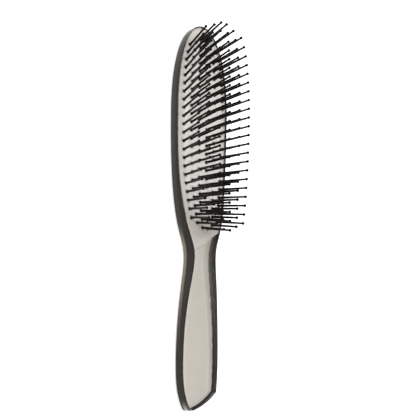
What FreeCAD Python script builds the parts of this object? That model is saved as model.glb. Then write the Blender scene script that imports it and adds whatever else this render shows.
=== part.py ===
"""Detangling brush: a thick clear handle slab with ball-tipped pins floating on a cushion in its head.

Millimetres. The brush lies on its flat back with the pins up along +Z. +Y runs from the handle to the tip of
the head, X across the brush. The origin is under the middle of the brush, on the surface that it lies on.
"""
import FreeCAD
import Part
import math
import os

Vector = FreeCAD.Vector
UP = Vector(0, 0, 1)
ACROSS = Vector(1, 0, 0)
SAME_PLACE = 1e-6

# Driving dimensions: alias, value, meaning. Distances "from tip" run along the brush from its head's tip.
DIMENSIONS = [
    ("head_half_width", 19.2, "half the width of the head at its widest"),
    ("head_widest_from_tip", 54.0, "where the head is widest"),
    ("tip_curve_across", 11.5, "reach of the tip's curve across the brush"),
    ("head_curve_up", 31.0, "reach of the head's widest stretch towards the tip"),
    ("head_curve_down", 80.0, "reach of the head's side towards the neck"),
    ("neck_half_width", 8.1, "half the width of the neck at its narrowest"),
    ("neck_after_pocket", 14.5, "end of the pocket to the narrowest place of the neck"),
    ("neck_curve_up", 17.0, "reach of the neck's curve towards the head"),
    ("neck_curve_down", 10.0, "reach of the neck's curve towards the handle"),
    ("handle_half_width", 12.85, "half the width of the handle at its widest"),
    ("handle_widest_after_neck", 58.0, "neck to the widest place of the handle"),
    ("handle_curve_up", 30.5, "reach of the handle's widest stretch towards the neck"),
    ("end_after_handle_widest", 30.0, "widest place of the handle to its end"),
    ("short_side_inset", 0.85, "how far the end's shorter corner lies inside the handle's widest place"),
    ("short_side_rise", 11.3, "how far the shorter side stops above the end"),
    ("long_side_inset", 6.25, "how far the end's longer corner lies inside the handle's widest place"),
    ("long_side_curve_down", 12.0, "reach of the longer side's straight stretch towards the end"),
    ("long_side_curve_up", 8.0, "height above the end where the longer side turns in"),
    ("long_side_turn_inset", 0.55, "how far the longer side has come in where it turns"),
    ("end_bulge", 1.5, "how far the slanted end bows outwards"),
    ("end_corner_radius", 2.5, "rounding of the upright corners at the end of the handle"),
    ("tip_thickness", 6.9, "thickness of the slab at the tip"),
    ("head_thickness", 7.75, "thickness where the head is widest"),
    ("throat_thickness", 8.7, "thickness between the head and the neck"),
    ("throat_before_neck", 37.0, "where the throat's thickness is measured"),
    ("neck_thickness", 11.4, "thickness at the neck"),
    ("grip_thickness", 9.0, "thickness at the upper part of the handle"),
    ("grip_after_neck", 31.0, "where the grip's thickness is measured"),
    ("handle_thickness", 7.95, "thickness where the handle is widest"),
    ("end_thickness", 8.0, "thickness at the end of the handle"),
    ("front_edge_radius", 0.7, "rounding of the front edge"),
    ("back_edge_radius", 1.2, "rounding of the back edge"),
    ("rim_wall", 1.6, "wall of the slab beside the pocket in the head"),
    ("front_plate", 2.0, "plate over the pocket that the pins pass through"),
    ("pocket_end_room", 3.4, "last pins to the end of the pocket"),
    ("pocket_corner_radius", 3.0, "rounding of the pocket's corners at the neck"),
    ("cover_thickness", 1.4, "back cover that closes the pocket"),
    ("cover_gap", 0.1, "gap round the back cover"),
    ("cushion_side_gap", 0.3, "gap round the cushion"),
    ("cushion_seat_gap", 0.1, "gap between the cushion and the back cover"),
    ("cushion_head_gap", 0.3, "gap between the cushion and the pin heads"),
    ("row_pitch", 5.14, "distance between pins along a row"),
    ("first_pin_from_tip", 9.9, "first pins of the two inner rows"),
    ("pin_edge_room", 1.55, "pin head to the pocket's wall where the field is widest"),
    ("pin_wall_room", 0.4, "least room between a pin head and the pocket's wall"),
    ("field_widest_from_tip", 56.5, "where the rows of pins are widest apart"),
    ("field_tip_overrun", 21.0, "how far the field's oval runs past the first pins"),
    ("field_neck_overrun", 16.5, "how far the field's oval runs past the last pins"),
    ("pin_length", 20.4, "front face to the centre of a pin's ball"),
    ("pin_root_diameter", 1.5, "pin where it passes through the plate"),
    ("pin_root_height", 1.6, "height of the straight root above the face"),
    ("pin_tip_diameter", 1.1, "pin just below its ball"),
    ("ball_diameter", 1.8, "ball on the end of a pin"),
    ("hole_clearance", 0.3, "gap round a pin in its hole"),
    ("pin_head_lip", 0.15, "how far a pin's head reaches past the edge of its hole"),
    ("pin_head_thickness", 0.6, "thickness of a pin's head, behind the plate"),
    ("pin_head_clearance", 0.15, "gap between the plate and the head of the pin that leans most"),
    ("splay_degrees_per_mm", 0.9, "sideways lean of a pin for each millimetre from the middle"),
    ("fan_tip_degrees", 14.8, "lean of the first pins towards the tip"),
    ("fan_neck_degrees", 11.2, "lean of the last pins towards the neck"),
]

# Pins in each inner, middle and outer row, and the groups that every row is split into.
INNER_PINS = 24
MIDDLE_PINS = 23
OUTER_PINS = 22
GROUP_NAMES = ("tip", "upper", "lower", "neck")

# Rows from left to right: name, share of the field's half width, pins, start in pitches after the inner rows.
ROWS = [
    ("left_outer", -1.0, OUTER_PINS, 1.0),
    ("left_middle", -0.6, MIDDLE_PINS, 0.5),
    ("left_inner", -0.2, INNER_PINS, 0.0),
    ("right_inner", 0.2, INNER_PINS, 0.0),
    ("right_middle", 0.6, MIDDLE_PINS, 0.5),
    ("right_outer", 1.0, OUTER_PINS, 1.0),
]

doc = FreeCAD.newDocument("detangling_brush")
sheet = doc.addObject("Spreadsheet::Sheet", "sizes")


def fill_sheet():
    """Write each driving dimension with its alias and meaning."""
    for number, (alias, value, meaning) in enumerate(DIMENSIONS, start=1):
        sheet.set(f"A{number}", alias)
        sheet.set(f"B{number}", str(value))
        sheet.set(f"C{number}", meaning)
        sheet.setAlias(f"B{number}", alias)
    doc.recompute()


def size(alias):
    """Value of a driving dimension."""
    return float(getattr(sheet, alias))


fill_sheet()

# Places along the brush. The pins set the length of the head, and the neck and handle follow it.
LAST_PIN_FROM_TIP = size("first_pin_from_tip") + (INNER_PINS - 1) * size("row_pitch")
POCKET_FROM_TIP = LAST_PIN_FROM_TIP + size("pocket_end_room")
NECK_FROM_TIP = POCKET_FROM_TIP + size("neck_after_pocket")
HANDLE_FROM_TIP = NECK_FROM_TIP + size("handle_widest_after_neck")
TOTAL_LENGTH = HANDLE_FROM_TIP + size("end_after_handle_widest")
TIP_Y = TOTAL_LENGTH / 2
END_Y = -TIP_Y
HEAD_Y = TIP_Y - size("head_widest_from_tip")
FIELD_Y = TIP_Y - size("field_widest_from_tip")
FIRST_PIN_Y = TIP_Y - size("first_pin_from_tip")
LAST_PIN_Y = TIP_Y - LAST_PIN_FROM_TIP
POCKET_Y = TIP_Y - POCKET_FROM_TIP
NECK_Y = TIP_Y - NECK_FROM_TIP
HANDLE_Y = TIP_Y - HANDLE_FROM_TIP

# The hole for a pin, and the pin's head that is a little wider than it.
HOLE_RADIUS = size("pin_root_diameter") / 2 + size("hole_clearance")
PIN_HEAD_RADIUS = HOLE_RADIUS + size("pin_head_lip")


def bezier(*poles):
    """Bezier curve with plan poles given as (x, y)."""
    curve = Part.BezierCurve()
    curve.setPoles([Vector(x, y, 0) for x, y in poles])
    return curve


def side_curves(inset):
    """Right-hand side of the outline from the tip to the handle's widest place, moved in by inset."""
    tip = TIP_Y - inset
    head = size("head_half_width") - inset
    neck = size("neck_half_width") - inset
    handle = size("handle_half_width") - inset
    head_top = bezier(
        (0, tip),
        (size("tip_curve_across") - inset, tip),
        (head, HEAD_Y + size("head_curve_up")),
        (head, HEAD_Y),
    )
    head_side = bezier(
        (head, HEAD_Y),
        (head, HEAD_Y - size("head_curve_down")),
        (neck, NECK_Y + size("neck_curve_up")),
        (neck, NECK_Y),
    )
    handle_side = bezier(
        (neck, NECK_Y),
        (neck, NECK_Y - size("neck_curve_down")),
        (handle, HANDLE_Y + size("handle_curve_up")),
        (handle, HANDLE_Y),
    )
    return [head_top, head_side, handle_side]


def parameter_at(curve, y):
    """Parameter of a curve that runs from the tip towards the handle, where it passes a given y."""
    low, high = curve.FirstParameter, curve.LastParameter
    while high - low > SAME_PLACE * (curve.LastParameter - curve.FirstParameter):
        middle = (low + high) / 2
        if curve.value(middle).y > y:
            low = middle
        else:
            high = middle
    return low


def half_width(y, inset):
    """Half width of the outline, moved in by inset, at a place along the brush."""
    for curve in side_curves(inset):
        if curve.EndPoint.y <= y <= curve.StartPoint.y:
            return curve.value(parameter_at(curve, y)).x
    return 0.0


def mirrored(edge):
    """Edge reflected to the left-hand side."""
    return edge.mirror(Vector(0, 0, 0), ACROSS)


def face_of(edges):
    """Flat face inside a closed loop of edges."""
    return Part.Face(Part.Wire(Part.__sortEdges__(edges)))


def outline_face():
    """Plan of the whole brush, with its slanted, bowed end."""
    sides = [curve.toShape() for curve in side_curves(0)]
    handle = size("handle_half_width")
    short_corner = Vector(handle - size("short_side_inset"), END_Y + size("short_side_rise"), 0)
    long_corner = Vector(size("long_side_inset") - handle, END_Y, 0)
    short_side = bezier(
        (handle, HANDLE_Y),
        (handle, (HANDLE_Y + short_corner.y) / 2),
        (short_corner.x, short_corner.y),
    )
    long_side = bezier(
        (-handle, HANDLE_Y),
        (-handle, HANDLE_Y - size("long_side_curve_down")),
        (size("long_side_turn_inset") - handle, END_Y + size("long_side_curve_up")),
        (long_corner.x, long_corner.y),
    )
    chord = long_corner - short_corner
    outward = UP.cross(chord).normalize()
    crest = (short_corner + long_corner) / 2 + outward * size("end_bulge")
    end = Part.Arc(short_corner, crest, long_corner)
    handle_end = [curve.toShape() for curve in (short_side, end, long_side)]
    return face_of(sides + handle_end + [mirrored(edge) for edge in sides])


def head_face(inset):
    """Plan of the pocket in the head, moved in by inset from the outline."""
    top, side, _ = [curve.toShape() for curve in side_curves(inset)]
    right = Vector(size("neck_half_width") - inset, NECK_Y, 0)
    left = Vector(-right.x, NECK_Y, 0)
    closing = Part.makeLine(right, left)
    whole = face_of([top, side, closing, mirrored(side), mirrored(top)])
    end_y = POCKET_Y + inset - size("rim_wall")
    width = 2 * size("head_half_width")
    kept = Part.makePlane(width, TIP_Y - end_y, Vector(-width / 2, end_y, 0))
    return whole.common(kept).Faces[0]


def front_profile():
    """Side view of the front face, as a smooth curve through the thicknesses."""
    stations = [
        (TIP_Y, size("tip_thickness")),
        (HEAD_Y, size("head_thickness")),
        (NECK_Y + size("throat_before_neck"), size("throat_thickness")),
        (NECK_Y, size("neck_thickness")),
        (NECK_Y - size("grip_after_neck"), size("grip_thickness")),
        (HANDLE_Y, size("handle_thickness")),
        (END_Y, size("end_thickness")),
    ]
    curve = Part.BSplineCurve()
    curve.interpolate([Vector(0, y, z) for y, z in stations])
    return curve


FRONT = front_profile()


def front_z(y):
    """Height of the front face at a place along the brush."""
    return FRONT.value(parameter_at(FRONT, y)).z


def front_normal(y):
    """Direction square to the front face at a place along the brush, away from the back."""
    towards_handle = FRONT.tangent(parameter_at(FRONT, y))[0]
    return towards_handle.cross(ACROSS)


def profile_face(drop, floor):
    """Side view of everything between a floor and the front face lowered by drop."""
    front = FRONT.toShape()
    front.translate(Vector(0, 0, -drop))
    tip, end = (vertex.Point for vertex in front.Vertexes)
    corners = [end, Vector(0, end.y, floor), Vector(0, tip.y, floor), tip]
    return face_of([front] + Part.makePolygon(corners).Edges)


def field_half_width(y):
    """Half width of the pin field: an oval that keeps the pin heads clear of the pocket's wall."""
    widest = size("head_half_width") - size("rim_wall") - PIN_HEAD_RADIUS - size("pin_edge_room")
    if y > FIELD_Y:
        reach = FIRST_PIN_Y - FIELD_Y + size("field_tip_overrun")
    else:
        reach = FIELD_Y - LAST_PIN_Y + size("field_neck_overrun")
    oval = widest * math.sqrt(1 - ((y - FIELD_Y) / reach) ** 2)
    return min(oval, half_width(y, size("rim_wall")) - PIN_HEAD_RADIUS - size("pin_wall_room"))


def pin_frame(x, y):
    """Placement of a pin: origin on the front face, local Z along the pin."""
    splay = math.radians(x * size("splay_degrees_per_mm"))
    towards_tip = (y - LAST_PIN_Y) / (FIRST_PIN_Y - LAST_PIN_Y)
    fan_range = size("fan_tip_degrees") + size("fan_neck_degrees")
    fan = math.radians(towards_tip * fan_range - size("fan_neck_degrees"))
    axis = Vector(math.sin(splay), math.cos(splay) * math.sin(fan), math.cos(splay) * math.cos(fan))
    return FreeCAD.Placement(Vector(x, y, front_z(y)), FreeCAD.Rotation(UP, axis))


def row_frames(share, count, start):
    """Placements of the pins in one row, from the tip to the neck."""
    frames = []
    for number in range(count):
        y = FIRST_PIN_Y - (start + number) * size("row_pitch")
        frames.append(pin_frame(share * field_half_width(y), y))
    return frames


def group_frames(frames, index):
    """The pins of a row that belong to one of its groups."""
    first = index * len(frames) // len(GROUP_NAMES)
    last = (index + 1) * len(frames) // len(GROUP_NAMES)
    return frames[first:last]


ALL_FRAMES = [frame for _, share, count, start in ROWS for frame in row_frames(share, count, start)]


def steepest_lean():
    """Largest angle between a pin and the square to the front face at its root."""
    return max(frame.Rotation.multVec(UP).getAngle(front_normal(frame.Base.y)) for frame in ALL_FRAMES)


def pin_head_depth():
    """Front face to the top of a pin's head, along the pin: enough for the pin that leans most."""
    lean = steepest_lean()
    tilt_room = PIN_HEAD_RADIUS * math.tan(lean)
    return size("front_plate") / math.cos(lean) + tilt_room + size("pin_head_clearance")


def add_shape(name, shape):
    """Object that holds a shape worked out from the sheet."""
    feature = doc.addObject("Part::Feature", name)
    feature.Shape = shape
    return feature


def add_extrusion(name, face, direction, forward, backward="0"):
    """Straight solid from a face, whose lengths are expressions on the sheet."""
    solid = doc.addObject("Part::Extrusion", name)
    solid.Base = add_shape(name + "_face", face)
    solid.DirMode = "Custom"
    solid.Dir = direction
    solid.Solid = True
    solid.setExpression("LengthFwd", forward)
    solid.setExpression("LengthRev", backward)
    return solid


def add_boolean(kind, name, base, tool):
    """Part::Cut or Part::Common of two objects."""
    result = doc.addObject(kind, name)
    result.Base = base
    result.Tool = tool
    return result


def add_layer(name, plan, profile):
    """Solid with the given plan and the given side profile."""
    tall = "2 * sizes.neck_thickness"
    wide = "2 * sizes.head_half_width"
    upright = add_extrusion(name + "_upright", plan, UP, tall, tall)
    across = add_extrusion(name + "_across", profile, ACROSS, wide, wide)
    layer = add_boolean("Part::Common", name, upright, across)
    doc.recompute()
    return layer


def corner_edges(shape, below_y):
    """Numbers of the upright edges that lie nearer the handle than a given y."""
    numbers = []
    for number, edge in enumerate(shape.Edges, start=1):
        bottom, top = edge.Vertexes[0].Point, edge.Vertexes[-1].Point
        upright = (top - bottom).Length > SAME_PLACE and (top - bottom).cross(UP).Length < SAME_PLACE
        if upright and top.y < below_y - SAME_PLACE:
            numbers.append(number)
    return numbers


def rim_edges(shape):
    """Numbers of the edges round the front face, and of those round the back."""
    front, back = [], []
    for number, edge in enumerate(shape.Edges, start=1):
        heights = [vertex.Z for vertex in edge.Vertexes]
        if max(heights) < SAME_PLACE:
            back.append(number)
        elif min(heights) > size("tip_thickness") / 2:
            front.append(number)
    return front, back


def add_fillet(name, base, radius_by_edge):
    """Part::Fillet with a radius for each edge number."""
    fillet = doc.addObject("Part::Fillet", name)
    fillet.Base = base
    fillet.Edges = [(number, radius, radius) for number, radius in radius_by_edge]
    doc.recompute()
    return fillet


def round_corners(name, base, below_y, alias):
    """Fillet on the upright corners that lie nearer the handle than a given y."""
    return add_fillet(name, base, [(number, size(alias)) for number in corner_edges(base.Shape, below_y)])


def moved(shape, placement):
    """Copy of a shape at a placement."""
    copy = shape.copy()
    copy.Placement = placement.multiply(copy.Placement)
    return copy


def make_body():
    """The slab with its pocket and pin holes."""
    blank = add_layer("slab_blank", outline_face(), profile_face(0, 0))
    rounded_end = round_corners("slab_corners", blank, HANDLE_Y, "end_corner_radius")
    front, back = rim_edges(rounded_end.Shape)
    front_radii = [(number, size("front_edge_radius")) for number in front]
    back_radii = [(number, size("back_edge_radius")) for number in back]
    slab = add_fillet("slab", rounded_end, front_radii + back_radii)
    below_back = -size("cover_thickness")
    pocket_block = add_layer("pocket_block", head_face(size("rim_wall")),
                             profile_face(size("front_plate"), below_back))
    pocket = round_corners("pocket", pocket_block, HEAD_Y, "pocket_corner_radius")
    hollow = add_boolean("Part::Cut", "hollow_slab", slab, pocket)
    depth = pin_head_depth()
    cutter = Part.makeCylinder(HOLE_RADIUS, 2 * depth, Vector(0, 0, -depth))
    holes = add_shape("pin_holes", Part.makeCompound([moved(cutter, frame) for frame in ALL_FRAMES]))
    body = add_boolean("Part::Cut", "body", hollow, holes)
    doc.recompute()
    return body


def make_cover():
    """Flat cover that closes the pocket, flush with the back."""
    plan = head_face(size("rim_wall") + size("cover_gap"))
    plate = add_extrusion("cover_plate", plan, UP, "sizes.cover_thickness")
    doc.recompute()
    return round_corners("back_cover", plate, HEAD_Y, "pocket_corner_radius")


def make_cushion():
    """Soft pad between the cover and the pin heads. Its top follows the front face."""
    head_foot = pin_head_depth() + size("pin_head_thickness")
    drop = math.hypot(head_foot, PIN_HEAD_RADIUS) + size("cushion_head_gap")
    floor = size("cover_thickness") + size("cushion_seat_gap")
    plan = head_face(size("rim_wall") + size("cushion_side_gap"))
    block = add_layer("cushion_block", plan, profile_face(drop, floor))
    return round_corners("cushion_pad", block, HEAD_Y, "pocket_corner_radius")


def add_pin_length(kind, name, foot, length, sizes_by_property):
    """One turned length of the pin, standing on Z = foot."""
    turned = doc.addObject(kind, name)
    for property_name, expression in sizes_by_property.items():
        turned.setExpression(property_name, expression)
    turned.Height = length
    turned.Placement = FreeCAD.Placement(Vector(0, 0, foot), FreeCAD.Rotation())
    return turned


def make_pin():
    """One pin along Z, with the front face at Z = 0."""
    root_radius = "sizes.pin_root_diameter / 2"
    tip_radius = "sizes.pin_tip_diameter / 2"
    head_radius = root_radius + " + sizes.hole_clearance + sizes.pin_head_lip"
    head_foot = -pin_head_depth() - size("pin_head_thickness")
    root_top = size("pin_root_height")
    head = add_pin_length("Part::Cylinder", "pin_head", head_foot, size("pin_head_thickness"),
                          {"Radius": head_radius})
    root = add_pin_length("Part::Cylinder", "pin_root", head_foot, root_top - head_foot,
                          {"Radius": root_radius})
    shaft = add_pin_length("Part::Cone", "pin_shaft", root_top, size("pin_length") - root_top,
                           {"Radius1": root_radius, "Radius2": tip_radius})
    ball = doc.addObject("Part::Sphere", "pin_ball")
    ball.setExpression("Radius", "sizes.ball_diameter / 2")
    ball.setExpression("Placement.Base.z", "sizes.pin_length")
    pin = doc.addObject("Part::MultiFuse", "pin")
    pin.Shapes = [head, root, shaft, ball]
    pin.Refine = True
    doc.recompute()
    return pin


def make_pin_groups():
    """Every row of pins, split into groups that lean almost the same way."""
    pin = make_pin()
    groups = []
    for name, share, count, start in ROWS:
        frames = row_frames(share, count, start)
        for index, group_name in enumerate(GROUP_NAMES):
            pins = [moved(pin.Shape, frame) for frame in group_frames(frames, index)]
            groups.append(add_shape(f"pins_{name}_{group_name}", Part.makeCompound(pins)))
    return groups


def check(parts):
    """Stop on any failed object or bad shape before anything is written."""
    doc.recompute()
    for item in doc.Objects:
        if "Invalid" in item.State or "Error" in item.State:
            raise RuntimeError(f"{item.Name} failed: {item.State}")
    for part in parts:
        if part.Shape.isNull() or not part.Shape.isValid() or part.Shape.Volume <= 0:
            raise RuntimeError(f"{part.Label} has a bad shape")


def main():
    """Build every piece, check it and write it."""
    parts = [make_body(), make_cover(), make_cushion()] + make_pin_groups()
    check(parts)
    os.makedirs("parts", exist_ok=True)
    for part in parts:
        part.Shape.exportStep(os.path.join("parts", part.Label + ".step"))
        print(f"{part.Label}: {len(part.Shape.Solids)} solids, {part.Shape.Volume:.1f} mm3")


main()
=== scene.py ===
"""Looks of the detangling brush.

The body is a clear slab over a pale liner, with dark smoke walls. It holds a foam pad and black pins.
"""
import math

import bmesh
import bpy
from mathutils import Matrix, Vector
from mathutils.bvhtree import BVHTree

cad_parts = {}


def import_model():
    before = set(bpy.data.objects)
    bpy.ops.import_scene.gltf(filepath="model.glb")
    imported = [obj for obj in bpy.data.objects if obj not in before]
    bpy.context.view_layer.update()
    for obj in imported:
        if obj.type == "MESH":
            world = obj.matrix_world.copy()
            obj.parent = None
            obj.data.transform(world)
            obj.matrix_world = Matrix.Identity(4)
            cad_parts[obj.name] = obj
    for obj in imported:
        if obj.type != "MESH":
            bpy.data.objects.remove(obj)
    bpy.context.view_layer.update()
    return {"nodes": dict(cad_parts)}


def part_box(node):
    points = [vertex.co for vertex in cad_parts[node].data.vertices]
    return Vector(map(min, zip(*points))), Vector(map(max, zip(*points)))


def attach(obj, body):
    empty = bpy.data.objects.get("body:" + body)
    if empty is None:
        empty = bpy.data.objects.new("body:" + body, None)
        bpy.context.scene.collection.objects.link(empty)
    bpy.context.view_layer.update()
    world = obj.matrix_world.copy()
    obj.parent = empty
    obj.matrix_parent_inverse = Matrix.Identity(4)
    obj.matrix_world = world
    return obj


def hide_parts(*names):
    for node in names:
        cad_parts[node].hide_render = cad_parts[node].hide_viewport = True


MM = 0.001

# Camera, as turns of the brush in front of a fixed lens: first about Y, then X, then the line of sight.
CAMERA_YAW = math.radians(39.19)
CAMERA_PITCH = math.radians(-12.27)
CAMERA_ROLL = math.radians(-0.45)
CAMERA_DISTANCE = 572.0 * MM
CAMERA_RIGHT = 9.52 * MM
CAMERA_UP = 1.48 * MM
CAMERA_NEAR = 10.0 * MM
FOCAL_PIXELS = 953.5
IMAGE_PIXELS = 420
SENSOR_WIDTH = 36.0

# The body's faces: how far one faces up to count as front, and down to count as flat underside. A wall whose
# facing wall is nearer than HOLE_SPAN belongs to a pin hole.
FRONT_FACING = 0.5
FLAT_FACING = 0.98
SAME_PLACE = 0.001 * MM
SLIVER = 0.005 * MM
RAY_START = 0.01 * MM
HOLE_SPAN = 2.6 * MM
BACK_HEIGHT = 1.0 * MM
LINER_GAP = 0.1 * MM
CLEAR, SMOKE, PALE = range(3)

# Pale backing of the head's front: a painted-light layer that stands in for the light seen through the clear
# plate and offsets the pins' shadows. Each pair is two distances inside the pocket's wall: where the backing
# starts, and where it hides what is below.
BACKED = "backed"
BACKED_LEFT = Vector((-1.6, -0.5)) * MM
BACKED_RIGHT = Vector((0.2, 1.0)) * MM
BACKED_END = Vector((-14.0, -1.0)) * MM
BACKED_FULL = 4.5 * MM
BACKED_OPAQUE = 0.18
POCKET_END_Y = -14.0 * MM
ABOVE_END_Y = -6.0 * MM
RIGHT_START_X = -8.0 * MM

# The clear band at the right of the neck: its slanted border goes through BAND_Y at X = 0, and the X values
# are measured from that border.
BAND_SLOPE = 0.6
BAND_Y = -18.0 * MM
BAND_START_X = -3.0 * MM
BAND_FULL_X = 6.0 * MM

# The mesh that carries the backing: points above POCKET_LEVEL, with the plate over the pocket thinner than
# PLATE_DEPTH.
POCKET_LEVEL = 3.5 * MM
PLATE_DEPTH = 3.5 * MM
BACKING_CUTS = 5
BACKING_STEP = 2.0 * MM

# Colours of the body. The walls are darkest at the front edge, and lighter at the back beside the neck: that
# lighter strip is painted light, and the head's darker front edge is painted shade.
CLEAR_TINT = (0.97, 0.965, 0.955)
# Painted light: the head's backing colours stand in for the light seen through the clear plate.
BACKED_NECK_PAINTED_LIGHT = (0.52, 0.48, 0.43)
BACKED_RIM_PAINTED_LIGHT = (0.65, 0.605, 0.545)
BACKED_FRONT_PAINTED_LIGHT = (0.98, 0.94, 0.89)
WALL_DARK = (0.018, 0.013, 0.008)
WALL_PAINTED_LIGHT = (0.31, 0.265, 0.21)
WALL_HEAD = (0.042, 0.038, 0.031)
WALL_HEAD_EDGE_SHADE = (0.016, 0.012, 0.008)
# Painted highlight on the handle's slanted end.
WALL_END_HIGHLIGHT = (0.55, 0.47, 0.43)
# The liner is lighter on the head: painted light that offsets the pins' shadows.
LINER_HANDLE = (0.84, 0.79, 0.71)
LINER_HEAD_LIT = (0.95, 0.92, 0.88)

# Places where those colours change: across the wall from the back, and along the brush.
WALL_LIGHT_END = 2.5 * MM
WALL_DARK_START = 4.5 * MM
HEAD_EDGE_START = 3.5 * MM
HEAD_EDGE_END = 6.5 * MM
END_STRIP_LOW = 1.0 * MM
END_STRIP_MIDDLE = 3.8 * MM
END_STRIP_HIGH = 7.0 * MM
END_FACING_START = 0.35
END_FACING_FULL = 0.6
HANDLE_MIDDLE_Y = -85.0 * MM
NECK_Y = -30.0 * MM
HEAD_END_Y = -22.0 * MM
HEAD_START_Y = -8.0 * MM
BRIGHT_START_Y = -16.0 * MM
BRIGHT_FULL_Y = 8.0 * MM

# Finish of each material. A scale is about the number of grains to the metre, and a shade is how dark the
# darkest places of an uneven colour are.
NOISE_DETAIL = 3.0
BUMP_STRENGTH = 0.3
CLEAR_IOR = 1.49
CLEAR_ROUGHNESS = (0.02, 0.05)
CLEAR_CLOUD_SCALE = 60.0
CLEAR_CLOUD_SHADE = 0.98
BACKED_GRAIN_SCALE = 900.0
BACKED_GRAIN_SHADE = 0.93
SMOKE_ROUGHNESS = 0.25
SMOKE_SPECULAR = 0.15
SMOKE_GRAIN_SCALE = 400.0
SMOKE_GRAIN_SHADE = 0.85
LINER_ROUGHNESS = 0.6
LINER_GRAIN_SCALE = 250.0
LINER_GRAIN_SHADE = 0.95
LINER_BUMP_SCALE = 900.0
LINER_BUMP_DEPTH = 0.02 * MM
FOAM_ROUGHNESS = 0.8
FOAM_GRAIN_SCALE = 900.0
FOAM_GRAIN_DETAIL = 4.0
FOAM_DARK = (0.80, 0.77, 0.72)
FOAM_LIGHT = (0.93, 0.91, 0.87)
FOAM_BUMP_DEPTH = 0.1 * MM
PIN_SPECULAR = 0.1
PIN_ROUGHNESS = (0.28, 0.42)
PIN_GRAIN_SCALE = 700.0
PIN_DARK = (0.003, 0.002, 0.001)
PIN_LIGHT = (0.007, 0.005, 0.003)

# The cushion, with a seat under each pin head.
CUSHION_VOXEL = 0.7 * MM
CUSHION_SMOOTHING = 4
CUSHION_TOP_FACING = 0.2
SEAT_FLAT = 2.2 * MM
SEAT_RADIUS = 3.0 * MM
SEAT_DEPTH = 1.3 * MM
PIN_HEAD_REACH = 0.7 * MM

# Stage. The sky's heights are the Z of a direction.
WHITE = (1.0, 1.0, 1.0, 1.0)
FLOOR_COLOUR = (0.9, 0.9, 0.9, 1.0)
FLOOR_ROUGHNESS = 0.9
FLOOR_GLOW = 0.5
FLOOR_GAP = 0.3 * MM
FLOOR_SIZE = 4.0
SKY_STRENGTH = 3.4
SIDE_STRENGTH = 0.25
SKY_START = 0.7
HORIZON_START = 0.22
HORIZON_END = 0.3

# Sockets of Blender's Mix node, which has the same names for each kind of value.
MIX_COLOUR_FIRST, MIX_COLOUR_SECOND, MIX_COLOUR_RESULT = 6, 7, 2
MIX_FLOAT_FIRST, MIX_FLOAT_SECOND, MIX_FLOAT_RESULT = 2, 3, 0


def node_tree(name):
    """New node material with Blender's own shader in it, and its tree."""
    material = bpy.data.materials.new(name)
    material.use_nodes = True
    return material, material.node_tree


def principled(tree):
    """The tree's Principled shader."""
    return tree.nodes["Principled BSDF"]


def add_node(tree, kind, **settings):
    """Node of a kind, with properties set."""
    node = tree.nodes.new(kind)
    for key, value in settings.items():
        setattr(node, key, value)
    return node


def split_xyz(tree, vector):
    """X, Y and Z sockets of a vector."""
    split = add_node(tree, "ShaderNodeSeparateXYZ")
    tree.links.new(vector, split.inputs["Vector"])
    return split.outputs


def place_on(tree):
    """X, Y and Z sockets of the place on the object, in metres."""
    return split_xyz(tree, add_node(tree, "ShaderNodeTexCoord").outputs["Object"])


def noise(tree, scale, detail=NOISE_DETAIL):
    """Noise value over the object."""
    place = add_node(tree, "ShaderNodeTexCoord")
    node = add_node(tree, "ShaderNodeTexNoise")
    node.inputs["Scale"].default_value = scale
    node.inputs["Detail"].default_value = detail
    tree.links.new(place.outputs["Object"], node.inputs["Vector"])
    return node.outputs["Fac"]


def spread(tree, value, low, high):
    """A 0 to 1 value stretched to run from low to high."""
    node = add_node(tree, "ShaderNodeMapRange")
    node.inputs["To Min"].default_value = low
    node.inputs["To Max"].default_value = high
    tree.links.new(value, node.inputs["Value"])
    return node.outputs["Result"]


def smooth_step(tree, value, start, end):
    """0 at start, 1 at end, smooth between; start may be the larger."""
    step = add_node(tree, "ShaderNodeMapRange", interpolation_type="SMOOTHSTEP")
    step.inputs["From Min"].default_value = start
    step.inputs["From Max"].default_value = end
    tree.links.new(value, step.inputs["Value"])
    return step.outputs["Result"]


def combine(tree, operation, *values):
    """Result of a Math node on one or two values."""
    node = add_node(tree, "ShaderNodeMath", operation=operation)
    for value, socket in zip(values, node.inputs):
        tree.links.new(value, socket)
    return node.outputs["Value"]


def product(tree, first, second):
    """Product of two values."""
    return combine(tree, "MULTIPLY", first, second)


def blend(tree, factor, first, second):
    """Colour that goes from first to second; each is a socket or a fixed colour."""
    mix = add_node(tree, "ShaderNodeMix", data_type="RGBA")
    tree.links.new(factor, mix.inputs["Factor"])
    for index, colour in ((MIX_COLOUR_FIRST, first), (MIX_COLOUR_SECOND, second)):
        if isinstance(colour, tuple):
            mix.inputs[index].default_value = (*colour, 1.0)
        else:
            tree.links.new(colour, mix.inputs[index])
    return mix.outputs[MIX_COLOUR_RESULT]


def mottled(tree, colour, scale, darkest):
    """Colour with a fine uneven shade, from darkest to full."""
    shade = spread(tree, noise(tree, scale), darkest, 1.0)
    mix = add_node(tree, "ShaderNodeVectorMath", operation="SCALE")
    tree.links.new(colour, mix.inputs[0])
    tree.links.new(shade, mix.inputs["Scale"])
    return mix.outputs["Vector"]


def bumps(tree, height, depth):
    """Normal of a surface with shallow bumps."""
    bump = add_node(tree, "ShaderNodeBump")
    bump.inputs["Strength"].default_value = BUMP_STRENGTH
    bump.inputs["Distance"].default_value = depth
    tree.links.new(height, bump.inputs["Height"])
    return bump.outputs["Normal"]


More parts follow.
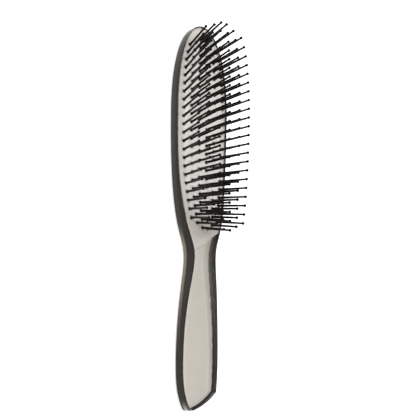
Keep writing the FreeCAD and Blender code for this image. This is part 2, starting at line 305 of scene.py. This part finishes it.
def clear_plastic():
    """Clear moulded plastic with a faint tint and slightly uneven gloss, and the painted-light pale backing
    of the head.
    """
    material, tree = node_tree("clear_plastic")
    shader = principled(tree)
    shader.inputs["IOR"].default_value = CLEAR_IOR
    backed = add_node(tree, "ShaderNodeAttribute", attribute_name=BACKED).outputs["Fac"]
    opaque = smooth_step(tree, backed, 0.0, BACKED_OPAQUE)
    tree.links.new(spread(tree, opaque, 1.0, 0.0), shader.inputs["Transmission Weight"])
    cloud = noise(tree, CLEAR_CLOUD_SCALE)
    darker = tuple(CLEAR_CLOUD_SHADE * part for part in CLEAR_TINT)
    clear = blend(tree, cloud, darker, CLEAR_TINT)
    # Painted light: the backing is brightest between the pins, dimmer at the rim and by the neck.
    above_neck = smooth_step(tree, place_on(tree)["Y"], BRIGHT_START_Y, BRIGHT_FULL_Y)
    rim_painted_light = blend(tree, above_neck, BACKED_NECK_PAINTED_LIGHT, BACKED_RIM_PAINTED_LIGHT)
    front = blend(tree, product(tree, backed, above_neck), rim_painted_light, BACKED_FRONT_PAINTED_LIGHT)
    backing_painted_light = mottled(tree, front, BACKED_GRAIN_SCALE, BACKED_GRAIN_SHADE)
    tree.links.new(blend(tree, opaque, clear, backing_painted_light), shader.inputs["Base Color"])
    tree.links.new(spread(tree, cloud, *CLEAR_ROUGHNESS), shader.inputs["Roughness"])
    return material


def wall_colour(tree, place):
    """Colour of the upright walls of handle, neck and head, with a painted-light strip at the back by the
    neck and painted shade along the head's front edge.
    """
    painted_light_strip = smooth_step(tree, place["Z"], WALL_DARK_START, WALL_LIGHT_END)
    near_neck = smooth_step(tree, place["Y"], HANDLE_MIDDLE_Y, NECK_Y)
    wall = blend(tree, product(tree, painted_light_strip, near_neck), WALL_DARK, WALL_PAINTED_LIGHT)
    # Painted shade: the head's walls darken toward the front edge.
    edge = smooth_step(tree, place["Z"], HEAD_EDGE_START, HEAD_EDGE_END)
    on_head = smooth_step(tree, place["Y"], HEAD_END_Y, HEAD_START_Y)
    return blend(tree, on_head, wall, blend(tree, edge, WALL_HEAD, WALL_HEAD_EDGE_SHADE))


def end_highlight(tree, place):
    """Share of the painted highlight, a light strip along the middle of the handle's slanted end."""
    facing = split_xyz(tree, add_node(tree, "ShaderNodeTexCoord").outputs["Normal"])
    along = combine(tree, "ABSOLUTE", facing["Y"])
    at_end = smooth_step(tree, along, END_FACING_START, END_FACING_FULL)
    above_back = smooth_step(tree, place["Z"], END_STRIP_LOW, END_STRIP_MIDDLE)
    below_front = smooth_step(tree, place["Z"], END_STRIP_HIGH, END_STRIP_MIDDLE)
    on_handle = smooth_step(tree, place["Y"], NECK_Y, HANDLE_MIDDLE_Y)
    return product(tree, product(tree, above_back, below_front), product(tree, at_end, on_handle))


def smoke_plastic():
    """Dark smoke of the upright walls and of the pin holes, with painted light, shade and a highlight on the
    walls.
    """
    material, tree = node_tree("smoke_plastic")
    shader = principled(tree)
    shader.inputs["Roughness"].default_value = SMOKE_ROUGHNESS
    shader.inputs["Specular IOR Level"].default_value = SMOKE_SPECULAR
    place = place_on(tree)
    colour = blend(tree, end_highlight(tree, place), wall_colour(tree, place), WALL_END_HIGHLIGHT)
    uneven = mottled(tree, colour, SMOKE_GRAIN_SCALE, SMOKE_GRAIN_SHADE)
    tree.links.new(uneven, shader.inputs["Base Color"])
    return material


def pale_liner():
    """Pale matte layer that shows through the clear plastic, lighter on the head as painted light against the
    pins' shadows.
    """
    material, tree = node_tree("pale_liner")
    shader = principled(tree)
    shader.inputs["Roughness"].default_value = LINER_ROUGHNESS
    on_head = smooth_step(tree, place_on(tree)["Y"], HEAD_END_Y, HEAD_START_Y)
    colour = blend(tree, on_head, LINER_HANDLE, LINER_HEAD_LIT)
    uneven = mottled(tree, colour, LINER_GRAIN_SCALE, LINER_GRAIN_SHADE)
    tree.links.new(uneven, shader.inputs["Base Color"])
    surface = bumps(tree, noise(tree, LINER_BUMP_SCALE), LINER_BUMP_DEPTH)
    tree.links.new(surface, shader.inputs["Normal"])
    return material


def cushion_foam():
    """Pale foam skin with a fine mottle."""
    material, tree = node_tree("cushion_foam")
    shader = principled(tree)
    shader.inputs["Roughness"].default_value = FOAM_ROUGHNESS
    grain = noise(tree, FOAM_GRAIN_SCALE, FOAM_GRAIN_DETAIL)
    tree.links.new(blend(tree, grain, FOAM_DARK, FOAM_LIGHT), shader.inputs["Base Color"])
    tree.links.new(bumps(tree, grain, FOAM_BUMP_DEPTH), shader.inputs["Normal"])
    return material


def pin_plastic():
    """Black moulded nylon with slightly uneven gloss."""
    material, tree = node_tree("pin_plastic")
    shader = principled(tree)
    shader.inputs["Specular IOR Level"].default_value = PIN_SPECULAR
    grain = noise(tree, PIN_GRAIN_SCALE)
    tree.links.new(blend(tree, grain, PIN_DARK, PIN_LIGHT), shader.inputs["Base Color"])
    tree.links.new(spread(tree, grain, *PIN_ROUGHNESS), shader.inputs["Roughness"])
    return material


def paint(piece, material):
    """Give a piece one material."""
    piece.data.materials.clear()
    piece.data.materials.append(material)


def add_piece(name, mesh):
    """Object for a mesh, in the scene."""
    piece = bpy.data.objects.new(name, mesh)
    bpy.context.scene.collection.objects.link(piece)
    return piece


def ramp(value, start, end):
    """0 at start, 1 at end, straight between."""
    return min(1.0, max(0.0, (value - start) / (end - start)))


def sort_faces(mesh):
    """Mark each face of the body: clear front and undersides, smoke walls and holes, pale pocket walls.

    Gives back a search tree of the whole body, and one of the pocket's walls alone.
    """
    tree = BVHTree.FromBMesh(mesh)
    pocket_walls = []
    for face in mesh.faces:
        normal = face.normal
        if normal.z > FRONT_FACING or normal.z < -FLAT_FACING:
            face.material_index = CLEAR
            continue
        start = face.calc_center_median() + normal * RAY_START
        distance = tree.ray_cast(start, normal)[3]
        in_pocket = distance is not None and distance > HOLE_SPAN
        face.material_index = PALE if in_pocket else SMOKE
        if in_pocket:
            pocket_walls.append([vert.index for vert in face.verts])
    return tree, BVHTree.FromPolygons([vert.co.copy() for vert in mesh.verts], pocket_walls)


def backing(place, inside):
    """Share of the painted-light backing at a place, by its distance inside the pocket's wall.

    It starts outside the wall at the left, further out and slowly by the neck, and inside it at the right.
    """
    on_head = ramp(place.y, POCKET_END_Y, ABOVE_END_Y)
    beside_head = on_head * ramp(place.x, RIGHT_START_X, 0.0)
    beside_neck = ramp(place.x - BAND_SLOPE * (place.y - BAND_Y), BAND_START_X, BAND_FULL_X)
    left = BACKED_END.lerp(BACKED_LEFT, on_head)
    start, opaque = left.lerp(BACKED_RIGHT, max(beside_head, beside_neck))
    hiding = BACKED_OPAQUE * ramp(inside, start, opaque)
    return hiding + (1.0 - BACKED_OPAQUE) * ramp(inside, opaque, BACKED_FULL)


def mark_backing(mesh, body, pocket_walls):
    """Share of the pale, painted-light backing at each point of the front, after cutting its long edges."""
    for _ in range(BACKING_CUTS):
        front = (face for face in mesh.faces if face.normal.z > FRONT_FACING)
        long_edges = dict.fromkeys(
            edge for face in front for edge in face.edges if edge.calc_length() > BACKING_STEP)
        bmesh.ops.subdivide_edges(mesh, edges=list(long_edges), cuts=1, use_grid_fill=True)
    backed = mesh.verts.layers.float.new(BACKED)
    down = Vector((0.0, 0.0, -1.0))
    for vert in (vert for vert in mesh.verts if vert.co.z > POCKET_LEVEL):
        level = Vector((vert.co.x, vert.co.y, POCKET_LEVEL))
        inside = pocket_walls.find_nearest(level)[3]
        below = body.ray_cast(vert.co + down * RAY_START, down)[3]
        if below is not None and below > PLATE_DEPTH:
            inside = -inside
        vert[backed] = backing(vert.co, inside)


def add_liner(mesh):
    """Pale copy of the clear undersides, with a thin gap of air between it and the plastic."""
    undersides = [face for face in mesh.faces if face.normal.z < -FLAT_FACING]
    copies = bmesh.ops.duplicate(mesh, geom=undersides)["geom"]
    for face in (item for item in copies if isinstance(item, bmesh.types.BMFace)):
        face.material_index = PALE
    for vert in (item for item in copies if isinstance(item, bmesh.types.BMVert)):
        if vert.co.z > BACK_HEIGHT:
            vert.co.z -= LINER_GAP
    for vert in {vert for face in undersides for vert in face.verts}:
        if vert.co.z < BACK_HEIGHT:
            vert.co.z += LINER_GAP


def make_body(frame, liner):
    """The slab in the space of the CAD body: clear plastic over a pale liner, between smoke walls."""
    mesh = bmesh.new()
    mesh.from_mesh(frame["nodes"]["body"].data)
    bmesh.ops.remove_doubles(mesh, verts=mesh.verts, dist=SAME_PLACE)
    bmesh.ops.dissolve_degenerate(mesh, edges=mesh.edges, dist=SLIVER)
    bmesh.ops.triangulate(mesh, faces=mesh.faces)
    mesh.normal_update()
    mesh.verts.index_update()
    mark_backing(mesh, *sort_faces(mesh))
    add_liner(mesh)
    shape = bpy.data.meshes.new("clear_slab")
    for material in (clear_plastic(), smoke_plastic(), liner):
        shape.materials.append(material)
    mesh.to_mesh(shape)
    mesh.free()
    slab = add_piece("clear_slab", shape)
    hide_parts("body")
    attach(slab, "brush_body")


def separate_solids(mesh):
    """The points of each separate solid of a mesh."""
    found = set()
    for first in mesh.verts:
        if first in found:
            continue
        found.add(first)
        solid = [first]
        for vert in solid:
            for edge in vert.link_edges:
                other = edge.other_vert(vert)
                if other not in found:
                    found.add(other)
                    solid.append(other)
        yield solid


def pin_head_centres(frame):
    """Middle of the head of every pin, from the separate solids of the pin nodes."""
    centres = []
    for name, node in frame["nodes"].items():
        if not name.startswith("pins_"):
            continue
        mesh = bmesh.new()
        mesh.from_mesh(node.data)
        bmesh.ops.remove_doubles(mesh, verts=mesh.verts, dist=SAME_PLACE)
        for pin in separate_solids(mesh):
            lowest = min(vert.co.z for vert in pin)
            head = [vert.co for vert in pin if vert.co.z < lowest + PIN_HEAD_REACH]
            centres.append(sum(head, Vector()) / len(head))
        mesh.free()
    return centres


def press_seats(shape, centres, floor):
    """Lower the pad's top under every pin head, flat in the middle and smooth to the rim."""
    top = [vert for vert in shape.vertices if vert.normal.z >= CUSHION_TOP_FACING]
    for vert in top:
        nearest = min(math.hypot(vert.co.x - c.x, vert.co.y - c.y) for c in centres)
        outwards = ramp(nearest, SEAT_FLAT, SEAT_RADIUS)
        dip = SEAT_DEPTH * (1.0 + math.cos(math.pi * outwards)) / 2
        vert.co.z = max(floor + CUSHION_VOXEL / 2, vert.co.z - dip)


def make_cushion(frame):
    """Pad with a soft seat under every pin head, in the space of the CAD pad."""
    cushion = add_piece("cushion_with_seats", frame["nodes"]["cushion_pad"].data.copy())
    remesh = cushion.modifiers.new("even", "REMESH")
    remesh.mode = "VOXEL"
    remesh.voxel_size = CUSHION_VOXEL
    smooth = cushion.modifiers.new("soft_edges", "SMOOTH")
    smooth.iterations = CUSHION_SMOOTHING
    evaluated = cushion.evaluated_get(bpy.context.evaluated_depsgraph_get())
    shape = bpy.data.meshes.new_from_object(evaluated)
    cushion.modifiers.clear()
    cushion.data = shape
    press_seats(shape, pin_head_centres(frame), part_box("cushion_pad")[0][2])
    shape.polygons.foreach_set("use_smooth", [True] * len(shape.polygons))
    paint(cushion, cushion_foam())
    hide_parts("cushion_pad")
    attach(cushion, "brush_body")


def sees_background(tree):
    """1 for what the camera sees directly, mirrored or through clear plastic, 0 for light on the object."""
    path = add_node(tree, "ShaderNodeLightPath").outputs
    mirrored = combine(tree, "MAXIMUM", path["Is Camera Ray"], path["Is Glossy Ray"])
    return combine(tree, "MAXIMUM", mirrored, path["Is Transmission Ray"])


def make_floor():
    """Plain white floor that stays white for the camera and keeps a soft shadow."""
    mesh = bpy.data.meshes.new("floor")
    half = FLOOR_SIZE / 2
    corners = [(-half, -half, 0), (half, -half, 0), (half, half, 0), (-half, half, 0)]
    mesh.from_pydata(corners, [], [(0, 1, 2, 3)])
    floor = add_piece("floor", mesh)
    floor.location.z = -FLOOR_GAP
    material, tree = node_tree("floor_white")
    shader = principled(tree)
    shader.inputs["Base Color"].default_value = FLOOR_COLOUR
    shader.inputs["Roughness"].default_value = FLOOR_ROUGHNESS
    shader.inputs["Emission Color"].default_value = WHITE
    glow = spread(tree, sees_background(tree), 0.0, FLOOR_GLOW)
    tree.links.new(glow, shader.inputs["Emission Strength"])
    paint(floor, material)


def make_sky():
    """Dome that is bright above, dim lower down, and white behind the object, at the horizon."""
    world = bpy.data.worlds.new("studio")
    bpy.context.scene.world = world
    world.use_nodes = True
    tree = world.node_tree
    background = tree.nodes["Background"]
    background.inputs["Color"].default_value = WHITE
    upwards = split_xyz(tree, add_node(tree, "ShaderNodeTexCoord").outputs["Generated"])["Z"]
    height = smooth_step(tree, upwards, SKY_START, 1.0)
    behind = smooth_step(tree, upwards, HORIZON_END, HORIZON_START)
    dome = add_node(tree, "ShaderNodeMix", data_type="FLOAT")
    tree.links.new(height, dome.inputs["Factor"])
    tree.links.new(spread(tree, behind, SIDE_STRENGTH, 1.0), dome.inputs[MIX_FLOAT_FIRST])
    dome.inputs[MIX_FLOAT_SECOND].default_value = SKY_STRENGTH
    tree.links.new(dome.outputs[MIX_FLOAT_RESULT], background.inputs["Strength"])


def make_camera():
    """Camera where the photograph was taken from."""
    data = bpy.data.cameras.new("camera")
    data.sensor_width = SENSOR_WIDTH
    data.lens = SENSOR_WIDTH * FOCAL_PIXELS / IMAGE_PIXELS
    data.clip_start = CAMERA_NEAR
    camera = bpy.data.objects.new("camera", data)
    bpy.context.scene.collection.objects.link(camera)
    turn = (Matrix.Rotation(CAMERA_ROLL, 3, "Z")
            @ Matrix.Rotation(CAMERA_PITCH, 3, "X")
            @ Matrix.Rotation(CAMERA_YAW, 3, "Y"))
    back = turn.transposed()
    place = back @ Vector((CAMERA_RIGHT, CAMERA_UP, CAMERA_DISTANCE))
    camera.matrix_world = Matrix.Translation(place) @ back.to_4x4()
    bpy.context.scene.camera = camera


def main():
    """Dress the frame and set the stage."""
    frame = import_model()
    black = pin_plastic()
    for name, node in frame["nodes"].items():
        if name.startswith("pins_"):
            paint(node, black)
    liner = pale_liner()
    make_body(frame, liner)
    paint(frame["nodes"]["back_cover"], liner)
    make_cushion(frame)
    make_floor()
    make_sky()
    make_camera()
    bpy.context.scene.view_settings.view_transform = "Standard"


main()
